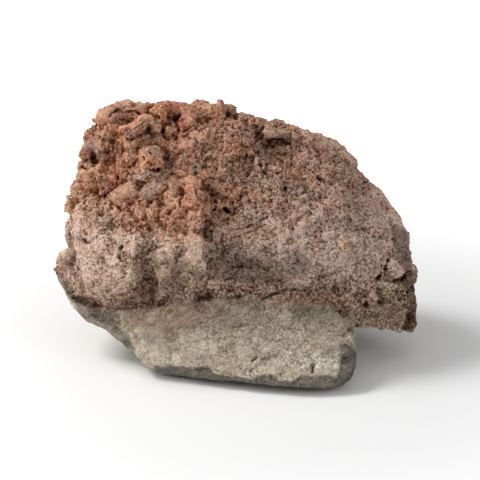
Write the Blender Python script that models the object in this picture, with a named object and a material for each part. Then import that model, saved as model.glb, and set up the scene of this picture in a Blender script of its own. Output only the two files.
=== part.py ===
"""Vesicular lava rock: one natural stone, a red-brown scoria mass grown onto a dense grey sole.

Blender metres, +Z up. The stone rests on the flat foot of its sole at z = 0, with the origin
under the middle of its bounding box. -Y is the broken front, where the sole juts out.
"""

import bmesh
import bpy
from mathutils import Vector, noise

MM = 0.001

# Driving dimensions, in millimetres.
WIDTH = 160.0
DEPTH = 104.0
HEIGHT = 110.0
FOOT_TRIM = 0.8  # how much of the rough underside the resting plane takes off
SKIN = 1.8  # grain of the mesh laid over each mass and over the fused stone
EDGE_ROUNDING = 4  # smoothing passes that blunt the fracture edges
TRIANGLES = 8600  # in the finished solid
FLAT = 0.1  # height under which a corner of the foot is laid on the resting plane

# Lumps on the broken faces: (span, height) of each size of lump, rounded with creases between.
SCORIA_LUMPS = [(30.0, 3.0), (14.0, 3.2), (8.0, 2.4)]
SOLE_LUMPS = [(26.0, 1.6), (11.0, 0.9)]
CREASE_SHARE = 0.38  # how much of a lump's height lies below the face

# Corners of the fused masses, (x, y, z) in millimetres: flat fracture faces span between them.
SCORIA = {
    "crown": [(-61, 5, 112), (-54, 9, 114), (-40, 13, 112.5), (-20, 19, 113.5), (-7, 19, 113),
              (2, 17, 109), (14, 15, 105), (38, 13, 101.5), (50, 11, 94)],
    "right_shoulder": [(58, 9, 84), (67, 6, 74.5), (74, 3, 65), (78, 0, 55), (80.5, -4, 43)],
    "right_side": [(72, 18, 49), (65, 26, 58), (53, 26, 76), (74, 16, 36)],
    "left_flank": [(-70, 5, 90), (-75.5, 2, 75), (-77, 0, 64), (-76, -4, 50), (-73, -14, 34),
                   (-69, 22, 80)],
    "front_foot": [(-53, -28, 31), (-34, -28, 36), (2, -25, 39), (24, -23, 41), (47, -20, 41)],
    "front_brow": [(-62, -25, 48), (-38, -30, 50), (-14, -30, 62), (22, -27, 54), (48, -23, 56),
                   (62, -19, 50), (73, -13, 47)],
    "back": [(-58, 34, 96), (-20, 40, 94), (30, 34, 84), (58, 24, 66), (-66, 40, 58),
             (-52, 48, 30), (0, 52, 52), (46, 46, 40), (60, 36, 30), (20, 50, 24), (-40, 50, 24)],
}
RIGHT_BLOCK = {
    "outer_edge": [(82, -8, 29), (83.5, -12, 10.5), (81, -5, 42), (78, 16, 26), (74, 22, 44)],
    "front_face": [(63, -26, 18), (53, -29, 20.5), (47, -25, 30), (51, -21, 42), (66, -16, 48)],
    "inside": [(40, 0, 60), (40, 20, 24), (56, 24, 22), (40, -14, 24)],
}
SOLE = {
    "front_edge": [(-35.5, -34, 6), (-19, -39, 7), (8, -47, 6.5), (23, -50, 6), (34, -51, 8.5),
                   (46.5, -48, 9.5)],
    "foot": [(-31, -32, 0), (-8, -39, 0), (19, -46, 0), (37, -49, 0), (46, -45, 0),
             (46, 0, 0), (40, 30, 0), (20, 40, 0), (-15, 38, 0), (-32, 15, 0), (-34, -10, 0)],
    "right_end": [(54, -45, 8), (54.5, -38, 15), (51, -31, 22), (52, -5, 18), (50, 20, 15)],
    "left_wing": [(-43, -34, 10), (-56.5, -24, 16.5), (-70.5, -12, 21), (-79, -5, 30),
                  (-83, 0, 40), (-78, 20, 38), (-64, 38, 30)],
    "under_scoria": [(-72, -6, 44), (-45, -18, 36), (0, -20, 39), (43, -19, 41), (-45, 46, 22),
                     (0, 48, 16), (35, 44, 14)],
}

# Hollows and swells: start, end, radius, and depth (a swell has a negative one).
FORMS = {
    "left_groove": ((-36, -26, 60), (-40, -28, 35), 10, 3.6),
    "middle_hollow": ((-1, -29, 57), (3, -27, 43), 15, 4.4),
    "middle_ridge": ((-19, -28, 62), (-14, -30, 51), 8, -2.2),
    "left_lobe": ((-56, -26, 46), (-53, -27, 40), 16, -2.4),
    "second_lobe": ((-25, -29, 45), (-22, -29, 40), 12, -2.2),
    "right_lobe": ((28, -26, 48), (46, -22, 52), 16, -2.4),
    "round_clod": ((-37, -8, 91), (-37, -8, 91), 9, -3.6),
    "long_clod": ((-49, -1, 101), (-40, 2, 102.5), 8, -3.2),
    "clod_hollow": ((-32, -1, 98), (-30, 1, 100), 7, 3.4),
    "left_hollow": ((-62, -4, 90), (-59, -6, 87), 9, 3.2),
    "striated_swell": ((-23, -14, 82), (-15, -20, 74), 9, -3.0),
    "striated_hole": ((-12, -22, 71), (-12, -25, 66), 6, 3.0),
    "round_hole": ((-4, -19, 72), (-3, -19, 72), 6, 3.6),
    "overhung_hollow": ((18, 5, 94), (26, 2, 90), 8, 4.2),
    "crown_dip": ((11, 10, 99), (14, 12, 99), 13, 2.6),
    "shoulder_swell": ((38, -1, 80), (44, -2, 76), 14, -2.2),
    "shoulder_crack": ((30, -2, 86), (36, -3, 79), 7, 2.6),
    "block_cavities": ((58, -25, 36), (61, -25, 29), 7, 3.2),
    "side_knob": ((79, -6, 41), (79, -4, 41), 8, -1.6),
    "sole_slope": ((-26, -27, 27), (36, -27, 28), 14, 1.4),
    "left_side_hollow": ((-76, 12, 72), (-74, 18, 60), 15, 3.4),
    "right_side_hollow": ((72, 18, 52), (66, 28, 40), 13, 3.6),
    "back_hollow": ((-8, 50, 62), (10, 50, 56), 20, 4.6),
    "back_swell": ((-38, 44, 74), (-30, 48, 60), 18, -3.0),
    "back_groove": ((34, 40, 72), (26, 50, 34), 11, 4.0),
    "top_hollow": ((-40, 26, 104), (-18, 30, 100), 12, 3.0),
    "underside_hollow": ((-58, 14, 22), (-40, 30, 14), 14, 2.5),
}


def clear_scene():
    for obj in list(bpy.data.objects):
        bpy.data.objects.remove(obj)


def apply_modifiers(obj):
    """Replaces the mesh by its evaluated one and clears the stack."""
    graph = bpy.context.evaluated_depsgraph_get()
    mesh = bpy.data.meshes.new_from_object(obj.evaluated_get(graph))
    obj.modifiers.clear()
    obj.data = mesh


def lay_skin(obj):
    """Lays one even mesh over the object, closing whatever its modifiers joined."""
    skin = obj.modifiers.new("skin", "REMESH")
    skin.mode = "VOXEL"
    skin.voxel_size = SKIN * MM
    apply_modifiers(obj)


def lump_height(point, lumps):
    """How far the lumps lift the surface at a point."""
    height = 0.0
    for span, lift in lumps:
        swell = abs(noise.noise(point / (span * MM) + Vector((span, 0.3, 0.7))))
        height += lift * (swell - CREASE_SHARE * 0.5)
    return height * MM


def block(name, corners, lumps):
    """A block of stone: flat faces spanned by its named corners, then roughened by lumps."""
    shape = bmesh.new()
    for group in corners.values():
        for corner in group:
            shape.verts.new(Vector(corner) * MM)
    bmesh.ops.convex_hull(shape, input=shape.verts)
    bmesh.ops.delete(shape, geom=[v for v in shape.verts if not v.link_faces], context="VERTS")
    bmesh.ops.recalc_face_normals(shape, faces=shape.faces)
    mesh = bpy.data.meshes.new(name)
    shape.to_mesh(mesh)
    shape.free()
    obj = bpy.data.objects.new(name, mesh)
    bpy.context.scene.collection.objects.link(obj)
    lay_skin(obj)
    blunt = obj.modifiers.new("blunt", "SMOOTH")
    blunt.factor = 0.5
    blunt.iterations = EDGE_ROUNDING
    apply_modifiers(obj)
    rough = [v.co + v.normal * lump_height(v.co, lumps) for v in obj.data.vertices]
    for vertex, co in zip(obj.data.vertices, rough):
        vertex.co = co
    return obj


def fuse(stone, masses):
    """Joins the masses into the stone under one skin."""
    for mass in masses:
        join = stone.modifiers.new(mass.name, "BOOLEAN")
        join.operation = "UNION"
        join.object = mass
    lay_skin(stone)
    for mass in masses:
        bpy.data.objects.remove(mass)


def segment_distance(point, start, end):
    along = end - start
    if along.length_squared == 0.0:
        return (point - start).length
    share = min(1.0, max(0.0, (point - start).dot(along) / along.length_squared))
    return (point - start - along * share).length


def press(shape, start, end, radius, depth):
    """Sinks the surface around a line; a negative depth raises it."""
    start, end = Vector(start) * MM, Vector(end) * MM
    near = []
    for v in shape.verts:
        share = segment_distance(v.co, start, end) / (radius * MM)
        if share < 1.0:
            near.append((v, (1.0 - share * share) ** 2))
    inward = -sum((v.normal for v, _ in near), Vector()).normalized()
    for v, weight in near:
        v.co += inward * (depth * MM * weight)


def shape_forms(stone):
    shape = bmesh.new()
    shape.from_mesh(stone.data)
    for start, end, radius, depth in FORMS.values():
        shape.normal_update()
        press(shape, start, end, radius, depth)
    shape.to_mesh(stone.data)
    shape.free()


def saw_foot(stone):
    """Saws the rough underside flat, a little above its lowest lump, and sets it on z = 0."""
    shape = bmesh.new()
    shape.from_mesh(stone.data)
    low = min(v.co.z for v in shape.verts) + FOOT_TRIM * MM
    everything = shape.verts[:] + shape.edges[:] + shape.faces[:]
    cut = bmesh.ops.bisect_plane(shape, geom=everything, plane_co=(0, 0, low),
                                 plane_no=(0, 0, 1), clear_inner=True)
    rim = [e for e in cut["geom_cut"] if isinstance(e, bmesh.types.BMEdge)]
    bmesh.ops.holes_fill(shape, edges=rim, sides=0)
    for v in shape.verts:
        v.co.z -= low
    shape.to_mesh(stone.data)
    shape.free()


def thin_out(stone):
    faces = sum(len(polygon.vertices) - 2 for polygon in stone.data.polygons)
    thin = stone.modifiers.new("thin", "DECIMATE")
    thin.ratio = TRIANGLES / faces
    thin.use_collapse_triangulate = True
    apply_modifiers(stone)


def size_stone(stone):
    """Centres the stone over the origin at its full size, its foot flat on z = 0."""
    points = [v.co for v in stone.data.vertices]
    for axis, size in enumerate((WIDTH, DEPTH, HEIGHT)):
        low = min(p[axis] for p in points)
        high = max(p[axis] for p in points)
        start = low if axis == 2 else (low + high) / 2
        for p in points:
            p[axis] = (p[axis] - start) * size * MM / (high - low)
    for p in points:
        if p.z < FLAT * MM:
            p.z = 0.0


def rough_stone():
    material = bpy.data.materials.new("lava")
    material.use_nodes = True
    surface = material.node_tree.nodes["Principled BSDF"]
    surface.inputs["Base Color"].default_value = (0.19, 0.125, 0.095, 1.0)
    surface.inputs["Roughness"].default_value = 0.93
    return material


def main():
    clear_scene()
    stone = block("lava_rock", SCORIA, SCORIA_LUMPS)
    right_block = block("right_block", RIGHT_BLOCK, SCORIA_LUMPS)
    sole = block("sole", SOLE, SOLE_LUMPS)
    fuse(stone, [right_block, sole])
    shape_forms(stone)
    saw_foot(stone)
    thin_out(stone)
    size_stone(stone)
    stone.data.materials.clear()
    stone.data.materials.append(rough_stone())


main()
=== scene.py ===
"""A lump of vesicular lava: red-brown clinker over pinkish grey scoria, on a dense grey-beige sole.

Lengths inside the functions are millimetres, because the grain of the stone is a millimetre or so.
Places on the front are given as columns and rows of the camera's frame, 480 on a side.
"""

import math

import bpy
import numpy as np
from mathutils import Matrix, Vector
from mathutils.bvhtree import BVHTree


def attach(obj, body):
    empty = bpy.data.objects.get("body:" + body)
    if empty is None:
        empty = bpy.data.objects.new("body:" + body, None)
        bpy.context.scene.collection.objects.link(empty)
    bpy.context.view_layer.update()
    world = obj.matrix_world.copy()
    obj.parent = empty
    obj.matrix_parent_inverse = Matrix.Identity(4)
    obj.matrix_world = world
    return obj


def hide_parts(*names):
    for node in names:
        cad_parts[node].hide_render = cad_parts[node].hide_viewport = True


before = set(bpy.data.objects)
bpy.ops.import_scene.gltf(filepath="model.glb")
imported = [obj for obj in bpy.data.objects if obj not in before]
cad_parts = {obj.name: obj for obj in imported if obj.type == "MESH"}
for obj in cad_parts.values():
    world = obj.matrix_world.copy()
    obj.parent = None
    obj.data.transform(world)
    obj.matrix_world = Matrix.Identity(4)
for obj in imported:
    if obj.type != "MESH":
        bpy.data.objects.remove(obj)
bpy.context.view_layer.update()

NODE = "lava_rock"
BODY = "root"

MM = 0.001

# --- camera, floor and light, in metres -----------------------------------------------------------

FRAME_SIDE = 480
SENSOR = 36.0
LOOK_AT = Vector((0.0022, 0.0, 0.050))
ELEVATION = math.radians(20)
DISTANCE = 0.7
ACROSS_ONE_PIXEL = 0.000437

CARD_SIDE = 6.0
CARD_WHITE = 0.84
# painted light: the card's glow, and how far from the stone it starts and is full
PAINTED_CARD_GLOW = 0.58
GLOW_FROM = 0.09
GLOW_FULL = 0.34

WALL_LIGHT = 0.25
CEILING_LIGHT = 0.70
# each softbox: its place, its side and its power in watts
SOFTBOXES = {
    "left": ((-0.55, 0.06, 0.68), 0.30, 5.2),
    "low left": ((-0.74, -0.16, 0.36), 0.40, 1.6),
    "low right": ((0.62, -0.46, 0.36), 0.40, 1.5),
}
LIT_PLACE = Vector((0, 0, 0.04))

# --- the stone's own sizes, in millimetres -------------------------------------------------------

# points of the blank this close are one, and the skin over it has faces this wide
MERGED_WITHIN = 0.01
SKIN = 0.50
# what the finished stone is thinned out to
TRIANGLES = 196000
# a point whose normal leans this far away from the camera is behind, where this share of the faces is kept
TURNED_AWAY = -0.1
KEPT_BEHIND = 0.35

# lumps and hollows narrower than this are cut into the clods, and wider ones lie under them
NARROW = 1.75
# lumps wider than this are gentle swells, and smaller ones stand out with a steep foot
BROAD = 5.4

# the clinker: its lower edge at x = 0, how much that climbs along x, and how softly it ends at two x's
CLINKER_FROM = 65
CLINKER_CLIMB = 0.06
CLINKER_BLEND = [(-30, 7), (30, 16)]

# the sole: where it ends at the right, and how its contact with the scoria falls towards the back
SOLE_END = 52
CONTACT_FALL = 0.16
# the broken face: the column it starts at, its highest place, the y of its front, how far back it is set
BROKEN_FROM_COLUMN = 151
BROKEN_HIGHEST = 18
BROKEN_FRONT = -20
BROKEN_BACK = 0.8
# the sole's toe comes forward, and its foot is undercut from an edge that faces this way, this far out
TOE_FORWARD = 2.0
EDGE_OUTWARD = (-0.168, -0.986)
EDGE_AT = 39.5
UNDERCUT_DEPTH = 9.0
UNDERCUT_SLOPE = 0.23

# the right block's underside: x and z along it, how far back it is cut, and how deep each cut goes
UNDERSIDE = [(51.5, 20.8), (59.6, 20.0), (68.0, 15.3), (77.0, 11.7), (84.0, 10.0)]
UNDERSIDE_BACK = 10.0
FIRST_CUT = 5.0
LAST_CUT = 3.0

# how the hollows are marked for the painted shade: a name, rounds of smoothing, and the depth that counts
# as 1
HOLLOW_MARKS = [("hollow_fine", 2, 0.25), ("hollow_wide", 24, 1.2)]

# how far across the open bubbles of the relief are, and the granules, and the holes and pricks that the
# material paints dark as shade
BUBBLE = 2.7
GRANULE = 0.9
HOLE = 2.0
PRICK = 1.2
# how high the finest grain stands, in metres
BUMP_HEIGHT = 0.0013

# --- what stands out on the front: columns and rows of the frame, then radius and height in mm -----

LUMPS = {
    "rim clod": ([(108, 107), (118, 105), (130, 105), (139, 108)], 3.0, 1.5),
    "rim corner": ([(106, 118), (112, 112)], 4.6, 2.8),
    "top knob": ([(186, 111), (196, 110), (203, 109)], 4.4, 3.2),
    "right top rim": ([(312, 138), (322, 141), (334, 146), (344, 155), (352, 163)], 3.0, 2.2),
    "right shoulder rim": ([(374, 190), (384, 200), (392, 210), (398, 219), (402, 228)], 3.2, 1.2),
    "right rim": ([(401, 234), (402, 248), (405, 259)], 4.0, 2.1),
    "left tip": ([(64, 262), (70, 255)], 3.4, 3.2),
    "rim knob": ([(142, 109)], 1.9, 1.6),
    "striped clod": ([(127, 132), (137, 127), (147, 121)], 3.4, 2.6),
    "brown clod": ([(156, 128)], 3.0, 1.8),
    "left brow": ([(82, 155), (86, 148), (94, 143), (100, 147)], 2.6, 2.2),
    "orange nugget": ([(156, 112), (163, 115)], 2.8, 2.2),
    "brick clod": ([(160, 109), (168, 107), (180, 107)], 2.8, 2.2),
    "brick face": ([(181, 124)], 2.0, 0.9),
    "block": ([(169, 131)], 2.2, 1.1),
    "pink clod": ([(190, 122)], 2.7, 2.0),
    "orange crown": ([(206, 110), (218, 111)], 3.6, 3.4),
    "swirl clod": ([(198, 138), (206, 137)], 3.4, 2.2),
    "round clod": ([(149, 155), (151, 157)], 6.0, 4.2),
    "right low edge of the rim": ([(160, 141), (172, 145)], 2.6, 1.4),
    "clod by the round one": ([(131, 144), (129, 156)], 3.0, 1.6),
    "sandy shoulder": ([(78, 182), (92, 176)], 5.5, 1.6),
    "small shoulder": ([(118, 196), (131, 190)], 3.4, 1.3),
    "grey plate": ([(147, 192), (165, 178)], 4.0, 1.6),
    "brown striped clod": ([(174, 184), (171, 203)], 3.4, 2.2),
    "pink striped clod": ([(190, 184), (196, 200)], 4.2, 2.6),
    "red striped clod": ([(203, 196), (206, 208)], 2.6, 1.8),
    "brow over the cave": ([(267, 133), (280, 133), (293, 137)], 2.6, 1.6),
    "upper right clod": ([(300, 161)], 3.2, 1.0),
    "right top clod": ([(322, 140), (334, 150)], 3.4, 1.2),
    "small right clod": ([(306, 133)], 2.4, 1.0),
    "cream ridge": ([(198, 241), (193, 252), (187, 263)], 3.6, 1.3),
    "second lobe": ([(174, 258), (172, 288)], 7.0, 1.0),
    "left lobe": ([(88, 255), (104, 282)], 10.0, 1.4),
    "third lobe": ([(285, 255), (300, 270)], 8.0, 1.0),
    "right clod": ([(390, 266), (398, 272)], 3.6, 2.0),
    "edge lump": ([(414, 270), (413, 281)], 2.4, 1.4),
    "cream shelf": ([(386, 285), (398, 287)], 1.6, 1.0),
    "sole end lump": ([(349, 352), (352, 356)], 2.4, 1.2),
    "sole end toe": ([(346, 372), (351, 366)], 3.0, 1.0),
}

HOLLOWS = {
    "crown dip": ([(229, 110), (234, 111)], 3.0, 3.4),
    "low left face": ([(96, 318), (108, 331), (122, 346)], 8.0, 4.4),
    "under the rim clod": (
        [(110, 116), (113, 112), (118, 110), (127, 112), (134, 111), (141, 114)], 0.8, 2.2),
    "beside the rim knob": ([(146, 107), (147, 113)], 0.8, 2.0),
    "cave": ([(146, 131), (150, 128), (153, 133)], 1.9, 2.6),
    "foot of the striped clod": ([(124, 138), (129, 140), (134, 138), (139, 135), (145, 134)], 0.8, 2.0),
    "stripe one": ([(128, 133), (137, 127), (146, 121)], 0.5, 0.9),
    "stripe two": ([(131, 136), (140, 130), (147, 125)], 0.5, 0.9),
    "stripe three": ([(125, 131), (135, 123), (143, 119)], 0.5, 0.8),
    "crevice": ([(158, 117), (163, 121), (165, 127), (162, 133), (165, 138), (168, 140)], 0.7, 2.2),
    "brick gap": ([(174, 117), (176, 123), (179, 130)], 0.7, 1.8),
    "foot of the pink clod": ([(188, 129), (182, 131), (176, 133)], 0.7, 1.6),
    "under the swirl clod": ([(194, 137), (197, 143), (204, 145), (210, 141)], 0.7, 1.8),
    "stripe of the swirl clod": ([(204, 133), (209, 138)], 0.5, 1.0),
    "green hole": ([(198, 119), (202, 123)], 0.9, 1.8),
    "shade of the round clod": ([(165, 151), (167, 161)], 1.9, 2.0),
    "foot of the round clod": ([(138, 160), (142, 167), (148, 170), (156, 171), (160, 169)], 0.9, 2.6),
    "round clod pit one": ([(142, 157), (144, 160)], 0.7, 1.4),
    "round clod pit two": ([(148, 162), (150, 165)], 0.7, 1.4),
    "round clod pit three": ([(154, 160), (156, 157)], 0.7, 1.4),
    "round clod pit four": ([(150, 152), (152, 154)], 0.6, 1.2),
    "round clod pit five": ([(145, 150)], 0.6, 1.0),
    "left hollow": ([(95, 150), (93, 160)], 2.2, 1.6),
    "left slit": ([(81, 167), (88, 169), (95, 166), (99, 160), (100, 152)], 0.7, 2.0),
    "slit below it": ([(100, 170), (102, 178), (107, 184)], 0.6, 1.6),
    "red gully": ([(118, 178), (115, 187), (108, 191), (103, 196)], 1.1, 2.2),
    "edge of the plate": ([(156, 199), (164, 192), (171, 180)], 0.6, 1.4),
    "cave under the brow": ([(270, 143), (276, 140), (289, 141)], 1.9, 4.2),
    "crack below the cave": ([(260, 160), (262, 169)], 0.9, 2.4),
    "red crack": ([(265, 172), (276, 173)], 0.8, 2.0),
    "slot": ([(317, 177), (324, 182)], 0.8, 2.2),
    "flow line": ([(232, 231), (246, 228), (262, 219)], 0.5, 1.0),
    "second flow line": ([(238, 236), (252, 231), (266, 224)], 0.5, 0.8),
    "nick": ([(242, 195), (238, 201)], 0.8, 1.8),
    "hole one": ([(225, 209), (228, 211)], 1.1, 3.6),
    "hole two": ([(215, 201), (215, 209)], 1.1, 4.0),
    "hole three": ([(204, 210), (203, 219)], 1.1, 4.0),
    "red pocket": ([(197, 229), (203, 234)], 2.0, 2.4),
    "gap in the striped clod": ([(209, 186), (207, 197), (205, 203)], 0.8, 2.2),
    "stripe of the pink one": ([(195, 185), (197, 195), (202, 202)], 0.6, 1.6),
    "gap between striped clods": ([(184, 184), (181, 197), (179, 207)], 0.7, 1.8),
    "top pit": ([(257, 128)], 1.6, 1.8),
    "crown pit": ([(315, 141)], 1.6, 1.8),
    "pit one": ([(303, 192)], 1.0, 1.8),
    "pit two": ([(271, 200)], 1.0, 1.8),
    "pit three": ([(350, 206)], 1.1, 2.0),
    "pit four": ([(348, 186)], 1.0, 1.6),
    "pit five": ([(359, 189)], 1.0, 1.6),
    "pit six": ([(349, 221)], 1.8, 1.6),
    "left pits": ([(83, 241), (89, 242)], 1.4, 2.0),
    "pit of the first groove": ([(121, 247), (119, 257)], 1.1, 1.6),
    "pit over the second lobe": ([(157, 240)], 1.3, 1.6),
    "first groove": ([(150, 250), (150, 270), (147, 288), (130, 300)], 5.6, 1.5),
    "second groove": ([(224, 245), (216, 262), (208, 280), (204, 294)], 5.6, 2.2),
    "dark hollow": ([(230, 262), (250, 270)], 6.0, 1.6),
    "third groove": ([(264, 249), (258, 270)], 2.6, 1.6),
    "corner of the block": ([(410, 318), (408, 328)], 4.0, 2.2),
    "grey cavity": ([(293, 227)], 2.0, 2.0),
    "crack over the sole": ([(262, 299), (276, 293), (294, 290), (304, 287)], 0.8, 1.8),
    "cavity one": ([(380, 289), (383, 302)], 2.3, 3.2),
    "cavity two": ([(366, 305)], 1.5, 2.0),
    "cavity three": ([(379, 278)], 1.6, 2.2),
    "shade of the right clod": ([(409, 272), (403, 279), (395, 281)], 1.5, 2.6),
    "hollow over the right clod": ([(399, 259), (405, 257)], 2.0, 2.2),
    "side of the right clod": ([(391, 250), (388, 260), (385, 272)], 1.0, 1.8),
    "edge pit": ([(408, 291)], 1.4, 1.8),
    "slit in the sole": ([(252, 361), (257, 357)], 0.5, 1.6),
    "pit in the sole": ([(313, 365), (312, 371)], 1.2, 2.2),
    "speck one": ([(286, 365)], 0.6, 1.0),
    "speck two": ([(269, 353)], 0.6, 1.0),
    "speck three": ([(250, 371)], 0.6, 1.0),
    "lip of the notch": ([(344, 334), (350, 329), (358, 326)], 0.8, 1.8),
    "notch": ([(356, 334), (358, 342), (354, 351)], 1.6, 2.6),
    "contact, left": ([(72, 298), (84, 303), (100, 306), (118, 308), (140, 307), (160, 303)], 2.4, 1.5),
    "contact, right": ([(160, 305), (205, 299), (240, 297)], 1.2, 1.0),
    "scoop in the broken edge": ([(196, 369), (214, 370), (231, 375)], 1.6, 1.0),
}

# the strokes of each table start their ragged edges from seeds of their own
LUMP_SEED = 20
HOLLOW_SEED = 80
WASH_SEED = 300
CALM_SEED = 7

# even faces that the loose clods leave alone: columns and rows, then radius
CALM = {
    "block face": ([(362, 320), (385, 320), (410, 325)], 8.0),
    "smooth slope": ([(366, 205), (386, 208)], 5.0),
    "red edge of the sole": ([(272, 302), (345, 302)], 4.0),
}

# where the scoria meets the sole, from the left tip round to the right block
CONTACT = [
    (57, 249), (60, 262), (62, 278), (68, 295), (76, 304), (93, 309), (114, 311), (136, 310),
    (153, 308), (170, 305), (200, 301), (240, 298), (270, 299), (300, 303), (330, 304), (344, 318),
]
# the upper edge of the broken face along the sole's front
BROKEN_EDGE = [
    (150, 377), (155, 365), (195, 367), (209, 368), (217, 374), (229, 376), (243, 378), (252, 380),
    (260, 374), (272, 374), (280, 381), (292, 381), (300, 376), (320, 375), (337, 377), (340, 363),
    (343, 354), (358, 350),
]

# --- colours of the stone ------------------------------------------------------------------------

BRICK = (0.375, 0.175, 0.105)
BROWN = (0.315, 0.178, 0.118)
PINK = (0.36, 0.195, 0.132)
ORANGE = (0.42, 0.195, 0.1)
RED = (0.28, 0.075, 0.05)
OCHRE = (0.33, 0.19, 0.115)
VIOLET = (0.24, 0.15, 0.112)
MAUVE = (0.315, 0.205, 0.152)
ROSE = (0.4, 0.268, 0.202)
DUN = (0.255, 0.165, 0.114)
CREAM = (0.45, 0.36, 0.26)
BEIGE = (0.26, 0.21, 0.156)
PALE_BEIGE = (0.34, 0.288, 0.226)
OLIVE = (0.13, 0.11, 0.075)
SLATE = (0.092, 0.081, 0.071)
# a dark brown, painted as shade in most of the washes, and as a darker tone on the upper right and the
# right slope
SHADE_UMBER = (0.135, 0.086, 0.062)
# near black, painted as shade in a hole
HOLE_SHADE = (0.05, 0.038, 0.03)
GREEN_GREY = (0.15, 0.145, 0.11)
SAND = (0.27, 0.15, 0.09)
WHITE = (0.55, 0.52, 0.47)

# tones are how much brighter than its colour a place is, as a power of e
DARKEST_TONE = -2.4
MIDDLE_TONE = 0.65
# above the first the tone counts half, and what lies more than the second above that doesn't count
BRIGHT_TONE = 0.7
BRIGHT_REST = 1.2
# how red, green and blue follow the tone: darker places are redder
TONE_OF_EACH = (-0.3, 0.07, 0.42)

# the way the streaks of the sole run, and the way across them
STREAK = (0.72, 0.0, 0.69)
STREAK_ACROSS = (0.69, 0.0, -0.72)
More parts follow.
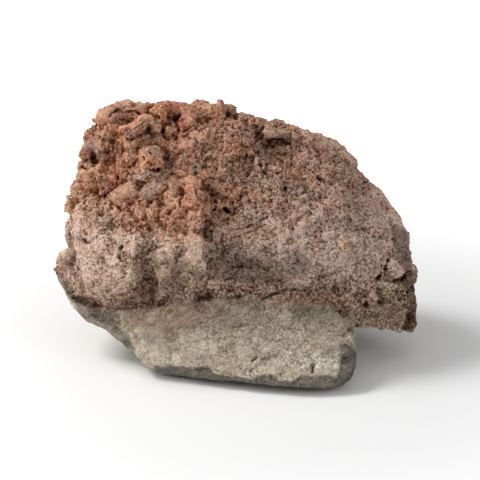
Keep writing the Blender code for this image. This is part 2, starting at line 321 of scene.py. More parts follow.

# stains, painted shade and a painted highlight on the front: colour, strength, radius in mm, columns and
# rows of the frame
WASHES = {
    "orange rim": (ORANGE, 0.6, 4.0, [(153, 113), (164, 119)]),
    "orange crown": (ORANGE, 0.7, 4.0, [(207, 109), (216, 113)]),
    "orange by the striped clod": (ORANGE, 0.6, 3.0, [(118, 137)]),
    "brick clod": (RED, 0.5, 3.4, [(172, 107), (185, 108)]),
    "red face": (RED, 0.75, 2.6, [(179, 121), (182, 127)]),
    "pink clod": (PINK, 0.6, 3.0, [(190, 122)]),
    # painted shade in the green hole
    "green hole": (HOLE_SHADE, 0.5, 1.4, [(200, 121)]),
    "pink rim": (PINK, 0.45, 3.6, [(104, 108), (122, 105), (140, 108)]),
    "pink striped top": (PINK, 0.5, 3.6, [(128, 132), (137, 126), (147, 121)]),
    "pink by the round clod": (PINK, 0.5, 3.0, [(131, 144), (130, 156)]),
    "pale top of the round clod": (PINK, 0.5, 3.4, [(147, 150)]),
    "upper right": (SHADE_UMBER, 0.3, 9.0, [(276, 150), (300, 152), (326, 158)]),
    "right slope": (SHADE_UMBER, 0.25, 9.0, [(345, 182), (366, 200)]),
    # painted shade in the cave
    "cave": (SHADE_UMBER, 0.6, 2.4, [(145, 135), (149, 130), (154, 138)]),
    "under the round clod": (ORANGE, 0.7, 3.6, [(144, 162), (153, 165)]),
    # painted shade on the round clod's right side
    "shade of the round clod": (SHADE_UMBER, 0.7, 2.8, [(166, 154), (168, 165)]),
    # painted shade in the left hollow
    "left hollow": (SHADE_UMBER, 0.7, 4.0, [(94, 149), (92, 164)]),
    "red gully": (RED, 0.6, 2.8, [(118, 177), (111, 188), (101, 197)]),
    "sandy shoulder": (OCHRE, 0.35, 6.5, [(78, 180), (92, 178)]),
    "grey plate": (VIOLET, 0.9, 4.4, [(148, 192), (163, 179)]),
    "cream edge": (ROSE, 0.6, 2.6, [(136, 179), (146, 172)]),
    "brown striped clod": (OCHRE, 0.6, 3.4, [(174, 184), (172, 202)]),
    "pink striped clod": (BRICK, 0.6, 4.6, [(192, 182), (200, 206)]),
    "red of the striped clod": (RED, 0.5, 2.2, [(208, 186), (205, 206)]),
    "green patch": (GREEN_GREY, 0.7, 2.4, [(196, 170), (202, 170)]),
    "ochre band": (OCHRE, 0.7, 5.0, [(68, 204), (88, 203), (112, 199)]),
    "ochre middle": (SAND, 0.6, 5.0, [(224, 226), (250, 232), (280, 229)]),
    "ochre holes": (SAND, 0.6, 4.4, [(216, 216), (236, 213)]),
    "grey arc": (DUN, 0.5, 5.0, [(230, 175), (270, 185), (300, 196)]),
    "violet right": (VIOLET, 0.5, 4.0, [(291, 191), (300, 188)]),
    "red spot": (RED, 0.6, 1.6, [(325, 151)]),
    "red fleck one": (RED, 0.7, 1.1, [(273, 213)]),
    "red fleck two": (RED, 0.8, 1.0, [(357, 259)]),
    "red streak": (RED, 0.5, 0.9, [(316, 233), (318, 250)]),
    "orange streak": (ORANGE, 0.5, 1.6, [(345, 236), (345, 246)]),
    "red under the third groove": (RED, 0.5, 1.4, [(269, 257)]),
    "pale left": (ROSE, 0.7, 6.0, [(78, 224), (112, 222)]),
    "peach": (ROSE, 0.5, 7.0, [(78, 262), (88, 280)]),
    "cream ridge": (ROSE, 0.6, 3.2, [(198, 241), (193, 252), (187, 262)]),
    "left rim": (SLATE, 0.7, 3.0, [(57, 256), (58, 275), (66, 290), (80, 303)]),
    # the slab's grey broken side, darkened further with painted shade because it faces down
    "grey facet": (SLATE, 0.65, 5.5, [(84, 314), (104, 322), (124, 342)]),
    "olive right": (OLIVE, 0.65, 6.0, [(303, 310), (330, 312), (348, 318)]),
    "brown left": (BROWN, 0.3, 6.0, [(140, 322), (170, 318), (200, 312)]),
    "red edge of the sole": (BROWN, 0.5, 2.6, [(272, 301), (310, 299), (345, 300)]),
    # a painted highlight along the ridge
    "painted highlight on the ridge": (WHITE, 0.5, 1.1, [(137, 331), (143, 341), (146, 349)]),
    "pale corner": (PALE_BEIGE, 0.6, 4.0, [(138, 352), (152, 372)]),
    "yellow": (OCHRE, 0.4, 2.0, [(315, 347)]),
    "crust": (WHITE, 0.3, 3.0, [(305, 362), (322, 358), (338, 366)]),
    "sole end": (SLATE, 0.95, 4.6, [(350, 352), (354, 364), (351, 376), (342, 384)]),
    "cavity": (VIOLET, 0.7, 3.0, [(380, 288), (383, 302)]),
    "cream patch": (CREAM, 0.8, 2.6, [(387, 284), (389, 295)]),
    "cream shelf": (CREAM, 0.4, 1.8, [(392, 287), (402, 287)]),
    # painted shade down the right edge, which faces away from the light
    "shade of the right edge": (SHADE_UMBER, 0.95, 4.6, [(403, 238), (409, 262), (412, 290), (412, 325)]),
    # painted shade: the lower middle under its overhang, the second lobe, the first groove and the scoria's
    # overhang over the sole
    "shade of the middle": (SHADE_UMBER, 0.7, 9.0, [(214, 262), (245, 270), (300, 266)]),
    "second lobe": (SHADE_UMBER, 0.8, 7.0, [(178, 262), (176, 286)]),
    "shade of the groove": (SHADE_UMBER, 0.6, 5.0, [(150, 256), (148, 288), (128, 302)]),
    "shade over the sole": (SHADE_UMBER, 0.75, 3.2, [(92, 305), (116, 307), (150, 305), (172, 301), (205, 297)]),
    "green block edge": (GREEN_GREY, 0.6, 2.2, [(390, 329), (404, 331)]),
    "block face": (GREEN_GREY, 0.35, 7.0, [(365, 318), (395, 312)]),
}


class Wire:
    """A socket of a node tree that can stand in a formula. Wire(tree) alone is where a tree starts."""

    def __init__(self, tree, link=None):
        self.tree = tree
        self.link = link

    def node(self, kind, settings=None, inputs=None, output=0):
        """Adds any node: its settings first, then the values or links of its sockets."""
        made = self.tree.nodes.new(kind)
        for name, value in (settings or {}).items():
            setattr(made, name, value)
        for name, value in (inputs or {}).items():
            if isinstance(value, Wire):
                self.tree.links.new(value.link, made.inputs[name])
            else:
                made.inputs[name].default_value = value
        return Wire(self.tree, made.outputs[output]) if made.outputs else Wire(self.tree)

    def maths(self, operation, first, second=0.0):
        """A sum on numbers, or on vectors where either side is one."""
        vectors = [isinstance(side, Wire) and side.link.type != "VALUE" for side in (first, second)]
        if not any(vectors):
            return self.node("ShaderNodeMath", {"operation": operation}, {0: first, 1: second})
        several, one = (first, second) if vectors[0] else (second, first)
        if operation == "MULTIPLY" and not all(vectors) and not isinstance(one, tuple):
            return self.node("ShaderNodeVectorMath", {"operation": "SCALE"}, {0: several, "Scale": one})
        return self.node("ShaderNodeVectorMath", {"operation": operation}, {0: first, 1: second})

    def __add__(self, other):
        return self.maths("ADD", self, other)

    def __sub__(self, other):
        return self.maths("SUBTRACT", self, other)

    def __mul__(self, other):
        return self.maths("MULTIPLY", self, other)

    def __radd__(self, other):
        return self.maths("ADD", other, self)

    def __rsub__(self, other):
        return self.maths("SUBTRACT", other, self)

    def __rmul__(self, other):
        return self.maths("MULTIPLY", other, self)

    def step(self, low, high):
        """0 below low, 1 above high, smooth between."""
        return self.node(
            "ShaderNodeMapRange",
            {"interpolation_type": "SMOOTHSTEP", "clamp": True},
            {"Value": self, "From Min": low, "From Max": high},
        )

    def exp(self):
        return self.maths("EXPONENT", self)

    def under(self, limit):
        return self.maths("MINIMUM", self, limit)

    def over(self, limit):
        return self.maths("MAXIMUM", self, limit)

    def along(self, direction):
        """How far a place lies along a direction."""
        return self.node("ShaderNodeVectorMath", {"operation": "DOT_PRODUCT"}, {0: self, 1: direction}, 1)


def noise(place, size, seed=0, detail=2.0, rough=0.5, output=0):
    """Blender's noise about 0, with humps about size apart: a number, or with output 1 a vector."""
    field = place.node(
        "ShaderNodeTexNoise",
        {"noise_dimensions": "3D", "normalize": True},
        {
            "Vector": place + (seed * 31.7, seed * 17.3, seed * 53.9),
            "Scale": 1.0 / size,
            "Detail": detail,
            "Roughness": rough,
        },
        output,
    )
    if output:
        return field + (-0.5, -0.5, -0.5)
    return field - 0.5


def seed_shift(seed):
    """Far enough away for another seed's cells to look unlike this one's."""
    return (seed * 23.1, seed * 41.9, seed * 11.3)


def cells(place, size, seed=0, feature="F1", output=0):
    """Blender's cells, size across: distances in parts of a cell, each cell's own colour, or its middle."""
    return place.node(
        "ShaderNodeTexVoronoi",
        {"voronoi_dimensions": "3D", "feature": feature},
        {"Vector": place + seed_shift(seed), "Scale": 1.0 / size},
        output,
    )


def single(wire, part=0):
    """One number out of a colour or a vector."""
    return wire.node("ShaderNodeSeparateXYZ", {}, {0: wire}, part)


# --- the surface --------------------------------------------------------------------------------

def only(stone):
    """Selects the stone and nothing else."""
    bpy.ops.object.select_all(action="DESELECT")
    stone.select_set(True)
    bpy.context.view_layer.objects.active = stone


def apply(stone, kind, **settings):
    """Adds a modifier and applies it."""
    only(stone)
    modifier = stone.modifiers.new(kind, kind)
    for name, value in settings.items():
        setattr(modifier, name, value)
    bpy.ops.object.modifier_apply(modifier=modifier.name)


def points_of(mesh):
    """The mesh's points in millimetres, a row each."""
    points = np.empty(len(mesh.vertices) * 3, np.float32)
    mesh.vertices.foreach_get("co", points)
    return points.reshape(-1, 3).astype(np.float64) / MM


def set_points(mesh, points):
    mesh.vertices.foreach_set("co", (points * MM).astype(np.float32).ravel())
    mesh.update()


def normals_of(mesh):
    normals = np.empty(len(mesh.vertices) * 3, np.float32)
    mesh.vertex_normals.foreach_get("vector", normals)
    return normals.reshape(-1, 3).astype(np.float64)


def store(mesh, name, values):
    """Keeps one number for each point of the mesh, under a name that nodes can read."""
    kept = mesh.attributes.get(name) or mesh.attributes.new(name, "FLOAT", "POINT")
    kept.data.foreach_set("value", np.asarray(values, np.float32))


def cloud(points, size, seed):
    """Smooth noise from -1 to 1, with humps about size apart. Large odd numbers scatter its values."""
    cell = points / size + seed * 7.31
    low = np.floor(cell).astype(np.int64)
    along = cell - low
    along = along * along * (3 - 2 * along)
    total = np.zeros(len(points))
    for corner in np.ndindex(2, 2, 2):
        key = (low + corner) * (73856093, 19349663, 83492791)
        key = key[:, 0] ^ key[:, 1] ^ key[:, 2] ^ (seed * 2654435761)
        key = ((key ^ (key >> 13)) * 1274126177) & 0xFFFFFFFF
        value = ((key ^ (key >> 16)) & 0xFFFF) / 32767.5 - 1
        total += value * np.prod(np.where(corner, along, 1 - along), axis=1)
    return total


def smooth_step(values, low, high):
    """0 below low, 1 above high, smooth between."""
    part = np.clip((values - low) / (high - low), 0, 1)
    return part * part * (3 - 2 * part)


def lay_zones(stone, contact_line):
    """Marks the kinds of stone: the clinker on top, the scoria, the sole and its broken face."""
    mesh = stone.data
    points = points_of(mesh)
    x, y, z = points.T
    wander = 2.2 * cloud(points, 16, 3) + 1.1 * cloud(points, 6, 4)
    line_x, line_y, line_z = contact_line
    contact = np.interp(x, line_x, line_z) - CONTACT_FALL * (y - np.interp(x, line_x, line_y))
    unseen = smooth_step(y, -15, 15)
    sole = smooth_step(contact + unseen * wander + 0.3 * cloud(points, 2, 5) - z, -0.7, 0.7)
    sole *= smooth_step(SOLE_END - x, -1.0, 1.0)
    lower_edge = CLINKER_FROM + CLINKER_CLIMB * x + 2.2 * wander
    blend = np.interp(x, *np.array(CLINKER_BLEND).T)
    clinker = smooth_step(z - lower_edge, -blend, blend)
    store(mesh, "sole", sole)
    store(mesh, "clinker", clinker * (1 - sole))
    store(mesh, "broken", broken_face(points, normals_of(mesh)) * sole)


def find_contact(find):
    """The contact line's x, y and z, in millimetres, as three rows."""
    line = [place for place in (find(*spot) for spot in CONTACT) if place is not None]
    return np.array(sorted(map(tuple, line))).T


def eye():
    """Where the camera is, and the way from what it looks at back to it."""
    back = Vector((0, -math.cos(ELEVATION), math.sin(ELEVATION)))
    return LOOK_AT + DISTANCE * back, back


def to_frame(points):
    """The columns and rows of the frame that points in millimetres fall on."""
    place, back = eye()
    from_eye = points * MM - np.array(place)
    depth = -(from_eye @ np.array(back))
    up = from_eye @ np.array((0, math.sin(ELEVATION), math.cos(ELEVATION)))
    pixels = DISTANCE / ACROSS_ONE_PIXEL / depth
    return FRAME_SIDE / 2 + from_eye[:, 0] * pixels, FRAME_SIDE / 2 - up * pixels


def surface_of(stone):
    """The stone's surface as it is now, to look up places on it later."""
    return BVHTree.FromObject(stone, bpy.context.evaluated_depsgraph_get())


def front_finder(tree):
    """A function that gives the point of a surface, in mm, that shows at a column and a row."""
    place, back = eye()
    up = Vector((0, math.sin(ELEVATION), math.cos(ELEVATION)))

    def find(column, row):
        aim = LOOK_AT + Vector((column - FRAME_SIDE / 2, 0, 0)) * ACROSS_ONE_PIXEL
        aim += up * (FRAME_SIDE / 2 - row) * ACROSS_ONE_PIXEL
        hit = tree.ray_cast(place, (aim - place).normalized())[0]
        return None if hit is None else np.array(hit) / MM

    return find


def from_path(points, path):
    """How far each point is from a path of points, in millimetres."""
    nearest = np.linalg.norm(points - path[0], axis=1)
    for first, second in zip(path, path[1:]):
        along = second - first
        part = np.clip(((points - first) @ along) / max(along @ along, 1e-9), 0, 1)
        nearest = np.minimum(nearest, np.linalg.norm(points - first - part[:, None] * along, axis=1))
    return nearest


def raggedness(radius):
    """How ragged a lump's or a hollow's edge is: a wide one's more than a narrow one's."""
    return 0.4 if radius > NARROW else 0.22


def near(points, find, path, radius, seed, ragged):
    """Which points a stroke reaches, and how far out each is: 0 on its line, 1 at its ragged edge."""
    line = [place for place in (find(*spot) for spot in path) if place is not None]
    if not line:
        return np.zeros(0, int), np.zeros(0)
    low = np.min(line, axis=0) - radius * 1.9
    high = np.max(line, axis=0) + radius * 1.9
    inside = np.flatnonzero(np.all((points > low) & (points < high), axis=1))
    distance = from_path(points[inside], line) / radius
    distance = distance + ragged * cloud(points[inside], max(1.4, radius * 0.8), seed)
    distance = distance + 0.5 * ragged * cloud(points[inside], max(0.8, radius * 0.3), seed + 1)
    return inside, np.maximum(distance, 0)


def lump_at(out, radius, height):
    """How high a lump stands at each point, and how deep the moat round its foot is. A swell has none."""
    swell = radius > BROAD
    lump = 1.2 * height * np.clip(1 - out ** 2, 0, 1) ** (1.5 if swell else 0.6)
    moat = 0 if swell else 0.3 * height * np.exp(-((out - 1.2) / 0.2) ** 2)
    return lump, moat


def sculpt(stone, find, narrow):
    """Raises the lumps and presses the hollows, either the wide or the narrow ones."""
    mesh = stone.data
    points = points_of(mesh)
    normals = normals_of(mesh)
    raised = np.zeros(len(points))
    pressed = np.zeros(len(points))
    for seed, (path, radius, height) in enumerate(LUMPS.values()):
        if (radius < NARROW) == narrow:
            inside, out = near(points, find, path, radius, seed + LUMP_SEED, raggedness(radius))
            lump, moat = lump_at(out, radius, height)
            raised[inside] = np.maximum(raised[inside], lump)
            pressed[inside] = np.minimum(pressed[inside], -moat)
    bottom, brink = (0.2, 1.1) if narrow else (0.0, 1.35)
    for seed, (path, radius, depth) in enumerate(HOLLOWS.values()):
        if (radius < NARROW) == narrow:
            inside, out = near(points, find, path, radius, seed + HOLLOW_SEED, raggedness(radius))
            hollow = -depth * (1 - smooth_step(out, bottom, brink))
            pressed[inside] = np.minimum(pressed[inside], hollow)
    points += normals * (raised + pressed)[:, None]
    set_points(mesh, points)


def broken_face(points, normals):
    """1 on the dark broken face along the sole's lower edge, 0 elsewhere."""
    columns, rows = to_frame(points)
    edge = np.interp(columns, *np.array(BROKEN_EDGE).T)
    edge = edge + 1.4 * cloud(points, 4.5, 61) + 0.7 * cloud(points, 1.5, 62)
    in_front = points[:, 1] < BROKEN_FRONT
    front = smooth_step(rows - edge, -0.6, 1.0) * (columns > BROKEN_FROM_COLUMN) * in_front
    back = smooth_step(0.15 - normals[:, 2], -0.1, 0.1) * smooth_step(9 - points[:, 2], -1, 1)
    return np.maximum(front, back * ~in_front) * (points[:, 2] < BROKEN_HIGHEST)


def break_edge(stone):
    """Sets the sole's broken face back under a crisp edge, and undercuts its foot."""
    mesh = stone.data
    points = points_of(mesh)
    normals = normals_of(mesh)
    broken = broken_face(points, normals)
    points[:, 1] += BROKEN_BACK * broken * smooth_step(points[:, 2], 0.0, 3.0)
    forward = smooth_step(-points[:, 1], 30, 42)
    low = smooth_step(-points[:, 2], -14, -4)
    points[:, 1] -= TOE_FORWARD * forward * low
    past_edge = points[:, :2] @ np.array(EDGE_OUTWARD) - EDGE_AT
    points[:, 2] = np.maximum(points[:, 2], UNDERCUT_SLOPE * (past_edge + UNDERCUT_DEPTH))
    set_points(mesh, points)


def cut_underside(stone, deepest):
    """Trims the right block's underside to one flat break, so that it ends in a crisp edge."""
    points = points_of(stone.data)
    line = np.interp(points[:, 0], *np.array(UNDERSIDE).T) + 0.25 * cloud(points, 3.5, 71)
    short = line - points[:, 2]
    in_reach = (points[:, 0] > UNDERSIDE[0][0]) & (points[:, 1] < UNDERSIDE_BACK)
    cut = (short > 0) & (short < deepest) & in_reach
    points[cut, 2] = line[cut]
    set_points(stone.data, points)


def take_blank():
    """A smooth copy of the CAD stone, a mesh of its own."""
    bpy.ops.object.select_all(action="DESELECT")
    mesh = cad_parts[NODE].data.copy()
    mesh.materials.clear()
    stone = bpy.data.objects.new("vesicular_lava", mesh)
    bpy.context.scene.collection.objects.link(stone)
    only(stone)
    bpy.ops.object.mode_set(mode="EDIT")
    bpy.ops.mesh.select_all(action="SELECT")
    bpy.ops.mesh.remove_doubles(threshold=MERGED_WITHIN * MM)
    bpy.ops.object.mode_set(mode="OBJECT")
    apply(stone, "SUBSURF", levels=2, render_levels=2)
    return stone


def skin(stone):
    """Gives the stone an even skin again, fine enough for the relief. It loses the marks laid on it."""
    apply(stone, "REMESH", mode="VOXEL", voxel_size=SKIN * MM, use_smooth_shade=True)


def geometry_tree(name):
    """Starts a tree of geometry nodes that takes the stone in and gives it back."""
    tree = bpy.data.node_groups.new(name, "GeometryNodeTree")
    tree.interface.new_socket("Stone", in_out="INPUT", socket_type="NodeSocketGeometry")
    tree.interface.new_socket("Stone", in_out="OUTPUT", socket_type="NodeSocketGeometry")
    return Wire(tree)


def attribute(start, name):
    """A number kept on the mesh, for geometry nodes."""
    return start.node("GeometryNodeInputNamedAttribute", {"data_type": "FLOAT"}, {"Name": name})


def push_out(start, stone, height):
    """Moves each point along its normal by a height in millimetres."""
    normal = start.node("GeometryNodeInputNormal")
    return start.node("GeometryNodeSetPosition", {}, {"Geometry": stone, "Offset": normal * (height * MM)})


def end_tree(stone, surface, result):
    """Ends a tree of geometry nodes with its result, and applies it."""
    surface.tree.links.new(result.link, surface.tree.nodes.new("NodeGroupOutput").inputs[0])
    apply(stone, "NODES", node_group=surface.tree)


def clods(place, size, seed, bend, lean, uneven, crevice):
    """Broken clods about size across, each a face at its own lean and height, with crevices between."""
    moved = place + noise(place, size, seed, output=1) * bend
    kind = cells(moved, size, seed, output=1) - (0.5, 0.5, 0.5)
    middle = cells(moved, size, seed, output=2) - seed_shift(seed)
    edge = cells(moved, size, seed, "DISTANCE_TO_EDGE")
    face = (moved - middle).along(kind) * lean + single(kind) * uneven
    open_here = noise(place, size * 1.7, seed + 3, 1).step(-0.10, 0.12)
    return face - (1 - edge.step(0.0, 0.12)) * crevice * open_here


def rough_here(place):
    """Smoother and rougher stretches of the stone, each several millimetres across."""
    rightward = (single(place) * 0.014 + 0.4).over(0.0).under(0.5)
    return 0.6 + noise(place, 7, 12, 2, 0.6).step(-0.14, 0.16) * 0.6 + rightward


def raise_clods(stone):
    """The big relief: clods in the clinker, lobes in the scoria, slow waves in the sole."""
    start = geometry_tree("clods")
    surface = start.node("NodeGroupInput")
    place = start.node("GeometryNodeInputPosition") * 1000.0
    clinker = attribute(start, "clinker")
    sole = attribute(start, "sole")
    worked = attribute(start, "worked")
    calm = 1 - 0.92 * worked
    blocky = 0.4 + 0.6 * (noise(place, 26, 13, 1) - single(place) * 0.004).step(-0.12, 0.12)
    big = clods(place, size=15, seed=6, bend=8.0, lean=0.45, uneven=1.0, crevice=0.6)
    middle = clods(place, size=8.0, seed=1, bend=4.0, lean=0.6, uneven=1.0, crevice=1.5)
    small = clods(place, size=4.0, seed=2, bend=2.0, lean=0.5, uneven=0.35, crevice=0.6)
    blocks = (big + middle) * calm * blocky + small * (1 - 0.6 * worked) * blocky
    lobes = (noise(place, 15, 3, 2) * 2.6 + noise(place, 6, 4, 3, 0.55) * 1.8) * calm
    facets = clods(place, size=6.0, seed=5, bend=3.0, lean=0.4, uneven=0.4, crevice=0.6) * calm
    waves = noise(place, 22, 5, 2) * 1.4 + noise(place, 5, 6, 3) * 0.7
    height = blocks * clinker + (lobes + facets) * (1 - clinker) * (1 - sole) + waves * sole
    end_tree(stone, surface, push_out(start, surface, height))


def roughen(stone):
    """The fine relief: chips, granules and open bubbles a millimetre or two across."""
    start = geometry_tree("grain")
    surface = start.node("NodeGroupInput")
    place = start.node("GeometryNodeInputPosition") * 1000.0
    clinker = attribute(start, "clinker")
    sole = attribute(start, "sole")
    broken = attribute(start, "broken")
    worked = attribute(start, "worked")
    chips = clods(place, size=2.1, seed=21, bend=1.2, lean=0.4, uneven=0.2, crevice=0.25)
    crumbs = noise(place, 3.2, 7, 3, 0.6) * 0.9 + noise(place, 1.3, 8, 1) * 1.1
    bent = place + noise(place, 1.6, 9, output=1) * 2.2
    few = single(cells(bent, BUBBLE, 9, output=1)).step(0.88, 0.94)
    bubbles = (0.36 - cells(bent, BUBBLE, 9)).over(0.0) * few * 2.2
    rough = chips * (0.6 + 0.5 * clinker) + crumbs - bubbles
    rough = rough * (1 - sole) * rough_here(place) * (1 - 0.45 * worked)
    fine = noise(place, 1.5, 10, 2) * 0.45 + noise(place, 3, 11, 2) * broken * 1.6
    height = rough + fine * sole
    end_tree(stone, surface, push_out(start, surface, height))


def stand_flat(stone):
    """Nothing reaches below what the stone rests on."""
    points = points_of(stone.data)
    points[:, 2] = np.maximum(points[:, 2], 0)
    set_points(stone.data, points)


def thin_out(stone):
    """Keeps the triangles under their limit, with the smallest ones on the front."""
    _, towards_eye = eye()
    behind = normals_of(stone.data) @ np.array(towards_eye) < TURNED_AWAY
    group = stone.vertex_groups.new(name="behind")
    group.add(np.flatnonzero(behind).tolist(), 1.0, "REPLACE")
    share = 1 - behind.mean() * (1 - KEPT_BEHIND)
    apply(stone, "DECIMATE", ratio=share, vertex_group=group.name)
    stone.vertex_groups.clear()
    stone.data.calc_loop_triangles()
    share = TRIANGLES / len(stone.data.loop_triangles)
    apply(stone, "DECIMATE", ratio=share, use_collapse_triangulate=True)


def lay_hollows(stone):
    """Marks how deep each point lies under the skin around it, at two sizes, for the painted shade."""
    mesh = stone.data
    points = points_of(mesh)
    normals = normals_of(mesh)
    edges = np.empty(len(mesh.edges) * 2, np.int32)
    mesh.edges.foreach_get("vertices", edges)
    one, other = edges.reshape(-1, 2).T
    count = np.bincount(one, minlength=len(points)) + np.bincount(other, minlength=len(points))
    even = points.copy()
    done = 0
    for name, rounds, reach in HOLLOW_MARKS:
        for _ in range(rounds - done):
            moved = np.empty_like(even)
            for axis in range(3):
                moved[:, axis] = np.bincount(one, even[other, axis], len(points))
                moved[:, axis] += np.bincount(other, even[one, axis], len(points))
            even = moved / count[:, None]
        done = rounds
        store(mesh, name, np.einsum("ij,ij->i", even - points, normals) / reach)


def lay_heights(stone, blank):
    """Marks how far each point stands out of the smooth blank, in millimetres."""
    points = points_of(stone.data) * MM
    heights = np.empty(len(points))
    for which, point in enumerate(map(Vector, points)):
        nearest, normal, *_ = blank.find_nearest(point)
        heights[which] = (point - nearest).dot(normal) / MM
    store(stone.data, "height", heights)


def lay_worked(stone, find):
    """Marks what the wide lumps shaped, and the calm faces, so that the loose clods leave them alone."""
    points = points_of(stone.data)
    worked = np.zeros(len(points))
    for seed, (path, radius, _) in enumerate(LUMPS.values()):
        if radius > NARROW:
            inside, out = near(points, find, path, radius, seed + LUMP_SEED, raggedness(radius))
            calm = 1.0 if radius < BROAD else 0.35
            worked[inside] = np.maximum(worked[inside], calm * (1 - smooth_step(out, 0.8, 1.4)))
    for path, radius in CALM.values():
        inside, out = near(points, find, path, radius, CALM_SEED, 0.1)
        worked[inside] = np.maximum(worked[inside], 1 - smooth_step(out, 0.7, 1.2))
    store(stone.data, "worked", worked)


def lay_washes(stone, find):
    """Paints the named stains, painted shade and a painted highlight as one colour for each point, with how
    strongly it shows.
    """
    mesh = stone.data
    points = points_of(mesh)
    colour = np.zeros((len(points), 4))
    for seed, (stain, strength, radius, path) in enumerate(WASHES.values()):
        inside, out = near(points, find, path, radius, seed + WASH_SEED, 0.45)
        cover = strength * (1 - smooth_step(out, 0.45, 1.25))
        keep = colour[inside, 3] * (1 - cover)
        total = np.maximum(keep + cover, 1e-6)
        mixed = colour[inside, :3] * keep[:, None] + np.array(stain) * cover[:, None]
        colour[inside, :3] = mixed / total[:, None]
        colour[inside, 3] = keep + cover
    washes = mesh.attributes.new("wash", "FLOAT_COLOR", "POINT")
    washes.data.foreach_set("color", colour.astype(np.float32).ravel())


# --- the material -------------------------------------------------------------------------------

def colour_of(value):
    """A socket as it is, or a colour with its alpha."""
    return value if isinstance(value, Wire) else (*value, 1.0)


def mix(mask, colour, other, blend="MIX"):
    """colour where mask is 0, other where it is 1."""
    wire = next(part for part in (mask, colour, other) if isinstance(part, Wire))
    settings = {"data_type": "RGBA", "blend_type": blend, "clamp_factor": True}
    inputs = {"Factor": mask, 6: colour_of(colour), 7: colour_of(other)}
    return wire.node("ShaderNodeMix", settings, inputs, output=2)


def shift(colour, tone, warmth):
    """colour e**tone times as bright: darker is redder too, as crevices in rough stone are."""
    paler = (tone - MIDDLE_TONE) * warmth
    red, green, blue = ((tone + paler * bias).exp() for bias in TONE_OF_EACH)
    gain = tone.node("ShaderNodeCombineXYZ", {}, {0: red, 1: green, 2: blue})
    return mix(1.0, colour, gain, "MULTIPLY")


def mark(start, name, output="Fac"):
    """What is kept on the mesh under a name, for the material."""
    settings = {"attribute_type": "GEOMETRY", "attribute_name": name}
    return start.node("ShaderNodeAttribute", settings, output=output)


def cell_number(place, size, seed, bend):
    """A number of each cell's own, about 0, for cells with bent edges."""
    moved = place + noise(place, size, seed, output=1) * bend
    return single(cells(moved, size, seed, output=1)) - 0.5


def stone_colours(start, place, patch, stain_or_shade):
    """The clinker, the scoria and the sole in their mottled colours, with the named stains, painted shade
    and a painted highlight over them.
    """
    large = noise(place, 18, 1, 3)
    other_patch = noise(place, 4.5, 5, 3, 0.6)
    clod = cell_number(place, 9.0, 1, 5.0)
    small_clod = cell_number(place, 4.2, 2, 2.4)

    brown = large * 2 + patch * 2 + clod * 0.7 + small_clod * 0.5 + single(place) * 0.004 + 0.5
    clinker = mix(brown, BRICK, BROWN)
    clinker = mix((other_patch + clod * 0.2).step(0.10, 0.26) * 0.5, clinker, ORANGE)
    clinker = mix((large + small_clod * 0.3).step(0.12, 0.35) * 0.5, clinker, VIOLET)
    scoria = mix(large * 3 + patch * 2 + small_clod * 0.4 + 0.5, MAUVE, ROSE)
    scoria = mix(other_patch.step(0.05, 0.25) * 0.5, scoria, DUN)
    sole = mix(large * 2 + patch * 2 + 0.5, BEIGE, PALE_BEIGE)
    sole = mix(other_patch.step(0.05, 0.25) * 0.2, sole, OLIVE)

    colour = mix(mark(start, "clinker"), scoria, clinker)
    colour = mix(mark(start, "sole"), colour, sole)
    colour = mix(stain_or_shade, colour, mark(start, "wash", "Color"))
    return mix(mark(start, "broken") * (0.85 + patch), colour, SLATE)


def painted_hole_mouths(place, size, seed, rarest, mouth):
    """1 where the mouths of gas holes are painted dark as shade. A high rarest leaves few of them, and
    mouth is where they end.
    """
    has_one = single(cells(place, size, seed, output=1)).step(rarest, rarest + 0.06)
    return has_one * (1 - cells(place, size, seed).step(0.14, mouth))


def painted_relief_shade_and_light(start, sole):
    """Painted shade in the hollows of the surface, and painted light on what stands out of it."""
    height = mark(start, "height").over(-5.0).under(1.0)
    depth = height * 0.15 - mark(start, "hollow_fine") * 0.5 - mark(start, "hollow_wide") * 0.32
    return depth.under(0.2) * (1 - sole * 0.6)


def streak_and_shade_tone(start, place):
    """The slanting streaks of the sole, and painted shade that leaves it a little brighter towards its foot
    and darker under the scoria.
    """
    streaks = start.node("ShaderNodeCombineXYZ", {}, {
        0: place.along(STREAK) * 0.2, 1: place.along((0, 1, 0)), 2: place.along(STREAK_ACROSS)})
    return noise(streaks, 2.4, 31, 3) * 1.6 + (8 - single(place, 2)) * 0.006


def painted_light_up_and_right(place, clinker):
    """Painted light: the scoria paler towards its top and darker below under its overhang, and all the
    stone paler towards the right slope, which faces away from the softbox on the left.
    """
    up = single(place, 2)
    upper = ((up - 46) * 0.02).over(-0.4).under(0.3) * (1 - clinker)
    right = (single(place) + 30).over(0.0).under(60.0) * 0.0072 * up.step(28, 50)
    return upper + right


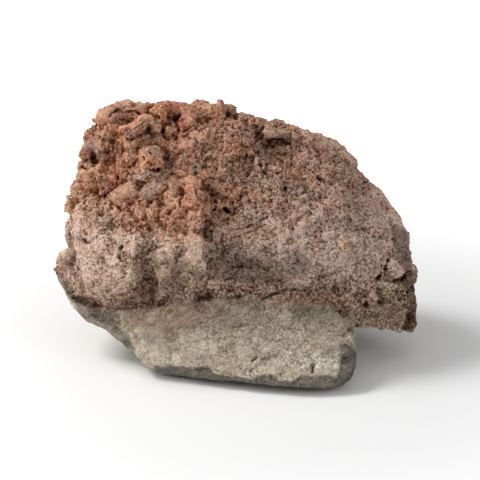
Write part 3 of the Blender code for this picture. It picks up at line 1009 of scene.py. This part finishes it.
def stone_material():
    """The stone's one material: mottled, stained colours with painted shade, that a tone darkens or
    bleaches, partly as painted shade and light, and a bump.
    """
    material = bpy.data.materials.new("lava")
    material.use_nodes = True
    material.node_tree.nodes.clear()
    start = Wire(material.node_tree)
    place = start.node("ShaderNodeTexCoord", output="Object") * 1000.0
    clinker = mark(start, "clinker")
    sole = mark(start, "sole")
    stain_or_shade = mark(start, "wash", "Alpha")
    patch = noise(place, 6, 2, 3, 0.6)
    colour = stone_colours(start, place, patch, stain_or_shade)

    coarse = (1.5 - sole * 0.85) * rough_here(place) * (1 - mark(start, "worked") * 0.25)
    bent = place + noise(place, 0.8, 3, output=1) * 0.7
    grain_edge = cells(bent, GRANULE, 4)
    grain_kind = single(cells(bent, GRANULE, 4, output=1))
    fleck = noise(place, 1.1, 3, 3, 0.7) * 2.3 + noise(place, 0.42, 18, 1) * 2.2
    # painted shade in the mouths of gas holes and pricks
    holes = painted_hole_mouths(bent, HOLE, 14, 0.76, 0.28) * 1.1 + painted_hole_mouths(bent, PRICK, 15, 0.74, 0.30) * 0.6
    holes = holes * (1 - sole * 0.6)

    tone = (grain_kind + fleck - grain_edge.step(0.35, 0.75) * 0.5 - 0.25) * coarse
    # painted shade in the hollows and in the mouths of gas holes, and painted light on what stands out
    tone = tone + patch * 0.8 + painted_relief_shade_and_light(start, sole) - holes * (1 - 0.4 * stain_or_shade) + MIDDLE_TONE
    # painted shade at the top of the sole and low in the scoria, and painted light up the scoria and
    # towards the right slope
    tone = tone + streak_and_shade_tone(start, place) * sole + painted_light_up_and_right(place, clinker) * (1 - sole)
    brighter = (tone - BRIGHT_TONE).over(0.0).under(BRIGHT_REST) * 0.5
    tone = tone.over(DARKEST_TONE).under(BRIGHT_TONE) + brighter
    warmth = 0.6 + clinker * 0.3 - sole * 0.3 - mark(start, "broken") * 0.2
    colour = shift(colour, tone, warmth)
    colour = mix(grain_kind.step(0.975, 0.99) * 0.4, colour, WHITE)

    relief = noise(place, 0.8, 11, 3, 0.7) * 1.6 - grain_edge * 0.5 - holes * 0.4
    bump_inputs = {"Strength": 1.0, "Distance": BUMP_HEIGHT, "Height": relief * coarse}
    bump = start.node("ShaderNodeBump", {}, bump_inputs)
    shader = start.node(
        "ShaderNodeBsdfPrincipled",
        {},
        {"Base Color": colour, "Roughness": 0.95, "Specular IOR Level": 0.08, "Normal": bump},
    )
    start.node("ShaderNodeOutputMaterial", {}, {"Surface": shader})
    return material


# --- camera, floor and light --------------------------------------------------------------------

def set_camera():
    """Looks down at the stone from straight in front, at the scale that ACROSS_ONE_PIXEL gives."""
    data = bpy.data.cameras.new("camera")
    data.sensor_width = SENSOR
    data.lens = SENSOR * DISTANCE / (FRAME_SIDE * ACROSS_ONE_PIXEL)
    camera = bpy.data.objects.new("camera", data)
    bpy.context.scene.collection.objects.link(camera)
    camera.location = eye()[0]
    camera.rotation_euler = (math.pi / 2 - ELEVATION, 0, 0)
    bpy.context.scene.camera = camera


def lay_floor():
    """A white card with painted light: it glows softly away from the stone, so that it ends in plain white.
    """
    bpy.ops.object.select_all(action="DESELECT")
    bpy.ops.mesh.primitive_plane_add(size=CARD_SIDE, location=(0, 0, 0))
    floor = bpy.context.active_object
    floor.name = "floor"
    material = bpy.data.materials.new("white card")
    material.use_nodes = True
    material.node_tree.nodes.clear()
    start = Wire(material.node_tree)
    place = start.node("ShaderNodeTexCoord", output="Object")
    away = start.node("ShaderNodeVectorMath", {"operation": "LENGTH"}, {0: place}, 1)
    # painted light on the card, growing away from the stone
    glow = away.step(GLOW_FROM, GLOW_FULL) * PAINTED_CARD_GLOW
    shader = start.node("ShaderNodeBsdfPrincipled", {}, {
        "Base Color": (CARD_WHITE, CARD_WHITE, CARD_WHITE, 1.0),
        "Roughness": 0.9,
        "Specular IOR Level": 0.1,
        "Emission Color": start.node("ShaderNodeCombineXYZ", {}, {0: glow, 1: glow, 2: glow}),
        "Emission Strength": 1.0,
    })
    start.node("ShaderNodeOutputMaterial", {}, {"Surface": shader})
    floor.data.materials.append(material)


def softbox(name, place, size, power):
    """A square light of its own size, turned to the stone."""
    data = bpy.data.lights.new(name, "AREA")
    data.shape = "SQUARE"
    data.size = size
    data.energy = power
    lamp = bpy.data.objects.new(name, data)
    bpy.context.scene.collection.objects.link(lamp)
    lamp.location = place
    lamp.rotation_euler = (LIT_PLACE - Vector(place)).to_track_quat("-Z", "Y").to_euler()


def light_studio():
    """A room with a bright ceiling, a softbox high on the left, and weak ones low on both sides."""
    world = bpy.data.worlds.new("studio")
    world.use_nodes = True
    world.node_tree.nodes.clear()
    start = Wire(world.node_tree)
    upward = single(start.node("ShaderNodeTexCoord", output="Generated"), 2)
    ceiling = WALL_LIGHT + upward.step(0.0, 1.0) * (CEILING_LIGHT - WALL_LIGHT)
    background = start.node("ShaderNodeBackground", {}, {"Strength": ceiling})
    start.node("ShaderNodeOutputWorld", {}, {"Surface": background})
    bpy.context.scene.world = world
    bpy.context.scene.view_settings.view_transform = "Standard"
    for name, (place, size, power) in SOFTBOXES.items():
        softbox(name, place, size, power)


def make_stone():
    """The whole stone, from the smooth blank to the finest grain, with its marks laid on each new skin."""
    stone = take_blank()
    skin(stone)
    blank = surface_of(stone)
    find = front_finder(blank)
    contact_line = find_contact(find)

    sculpt(stone, find, narrow=False)
    break_edge(stone)
    cut_underside(stone, FIRST_CUT)
    skin(stone)

    lay_zones(stone, contact_line)
    lay_worked(stone, find)
    raise_clods(stone)
    skin(stone)

    sculpt(stone, front_finder(surface_of(stone)), narrow=True)
    lay_zones(stone, contact_line)
    lay_worked(stone, find)
    roughen(stone)
    cut_underside(stone, LAST_CUT)
    thin_out(stone)
    stand_flat(stone)

    lay_zones(stone, contact_line)
    lay_hollows(stone)
    lay_heights(stone, blank)
    lay_washes(stone, front_finder(surface_of(stone)))
    return stone


def main():
    set_camera()
    lay_floor()
    light_studio()
    stone = make_stone()
    stone.data.materials.append(stone_material())
    only(stone)
    bpy.ops.object.shade_smooth()
    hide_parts(NODE)
    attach(stone, BODY)


main()

bpy.context.view_layer.update()
